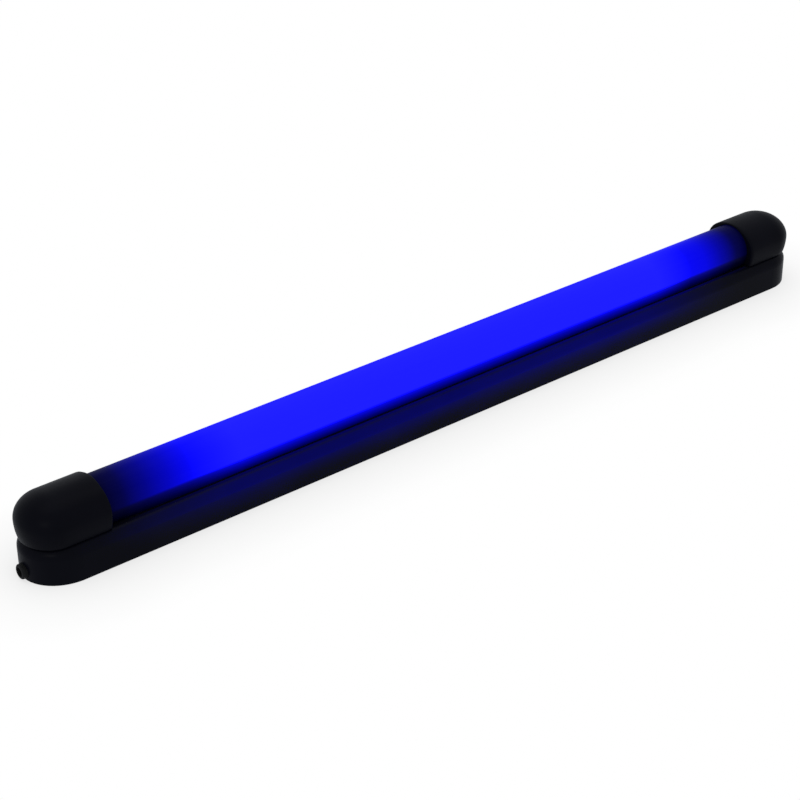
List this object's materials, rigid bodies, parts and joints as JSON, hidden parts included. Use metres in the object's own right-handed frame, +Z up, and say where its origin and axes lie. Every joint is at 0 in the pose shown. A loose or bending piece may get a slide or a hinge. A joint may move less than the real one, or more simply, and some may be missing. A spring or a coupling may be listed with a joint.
{
  "type": "led light tube",
  "caption": "Slim black batten with a blue-lit T8 tube in a shallow trough and a sliding domed cover over each end.",
  "frame": {"origin": "centre of the flat underside", "axes": "+X along the tube away from the cable end, +Z up from the underside"},
  "size_m": [0.4963, 0.0368, 0.0387],
  "materials": {
    "housing_black": "satin moulded ABS",
    "plate_black": "fine textured ABS",
    "cover_black": "satin moulded ABS",
    "grommet_rubber": "soft black",
    "zinc_steel": "zinc plated",
    "holder_white": "moulded",
    "rotor_white": "moulded",
    "contact_brass": "bright",
    "terminal_natural": "natural nylon",
    "board_green": "solder mask",
    "sleeve_dark": "heat-shrunk sleeve",
    "ferrite": "sintered",
    "winding_copper": "enamelled copper",
    "winding_tape": "polyester tape",
    "fuse_ceramic": "glazed",
    "chip_black": "moulded epoxy",
    "connector_white": "moulded",
    "mains_insulation": "PVC",
    "lead_insulation": "PVC",
    "diffuser_blue": "smooth polycarbonate, lit blue",
    "heat_sink_aluminium": "extruded",
    "led_board_white": "white solder mask",
    "led_blue": "silicone lens, lit blue",
    "tube_cap_dark": "anodised dark"
  },
  "bodies": {
    "housing": {"base_housing": "housing_black", "bottom_cover": "plate_black", "cable_grommet": "grommet_rubber", "bottom_cover_screws": "zinc_steel", "terminal_screws": "zinc_steel", "driver_board_screws": "zinc_steel", "left_holder_screw": "zinc_steel", "right_holder_screw": "zinc_steel", "left_lampholder": "holder_white", "right_lampholder": "holder_white", "left_holder_back": "holder_white", "right_holder_back": "holder_white", "left_holder_contacts": "contact_brass", "right_holder_contacts": "contact_brass", "terminal_block": "terminal_natural", "driver_board": "board_green", "input_capacitor": "sleeve_dark", "output_capacitor": "sleeve_dark", "transformer_core": "ferrite", "choke_bobbin": "ferrite", "choke_winding": "winding_copper", "transformer_winding": "winding_tape", "board_fuse": "fuse_ceramic", "board_chips": "chip_black", "board_connectors": "connector_white", "mains_wires": "mains_insulation", "left_leads": "lead_insulation", "right_leads": "lead_insulation"},
    "tube": {"tube_diffuser": "diffuser_blue", "heat_sink": "heat_sink_aluminium", "led_board": "led_board_white", "led_chips": "led_blue", "left_end_board": "board_green", "right_end_board": "board_green", "left_tube_cap": "tube_cap_dark", "right_tube_cap": "tube_cap_dark", "left_tube_pins": "contact_brass", "right_tube_pins": "contact_brass", "left_tube_leads": "lead_insulation", "right_tube_leads": "lead_insulation"},
    "left_rotor": {"left_holder_rotor": "rotor_white"},
    "right_rotor": {"right_holder_rotor": "rotor_white"},
    "left_cover": {"left_end_cover": "cover_black"},
    "right_cover": {"right_end_cover": "cover_black"}
  },
  "joints": [
    {"name": "tube_turn", "type": "hinge", "parent": "housing", "child": "tube", "pos_m": [0, 0, 0.0249], "axis": [1, 0, 0], "range_deg": [-90, 90]},
    {"name": "left_rotor_turn", "type": "hinge", "parent": "housing", "child": "left_rotor", "pos_m": [-0.2268, 0, 0.0249], "axis": [1, 0, 0], "range_deg": [-90, 90]},
    {"name": "right_rotor_turn", "type": "hinge", "parent": "housing", "child": "right_rotor", "pos_m": [0.2268, 0, 0.0249], "axis": [1, 0, 0], "range_deg": [-90, 90]},
    {"name": "left_cover_slide", "type": "slide", "parent": "housing", "child": "left_cover", "axis": [-1, 0, 0], "range_m": [0, 0.022]},
    {"name": "right_cover_slide", "type": "slide", "parent": "housing", "child": "right_cover", "axis": [1, 0, 0], "range_m": [0, 0.022]}
  ],
  "couplings": [
    {"joint": "left_rotor_turn", "follows": "tube_turn", "ratio": 1},
    {"joint": "right_rotor_turn", "follows": "tube_turn", "ratio": 1}
  ]
}
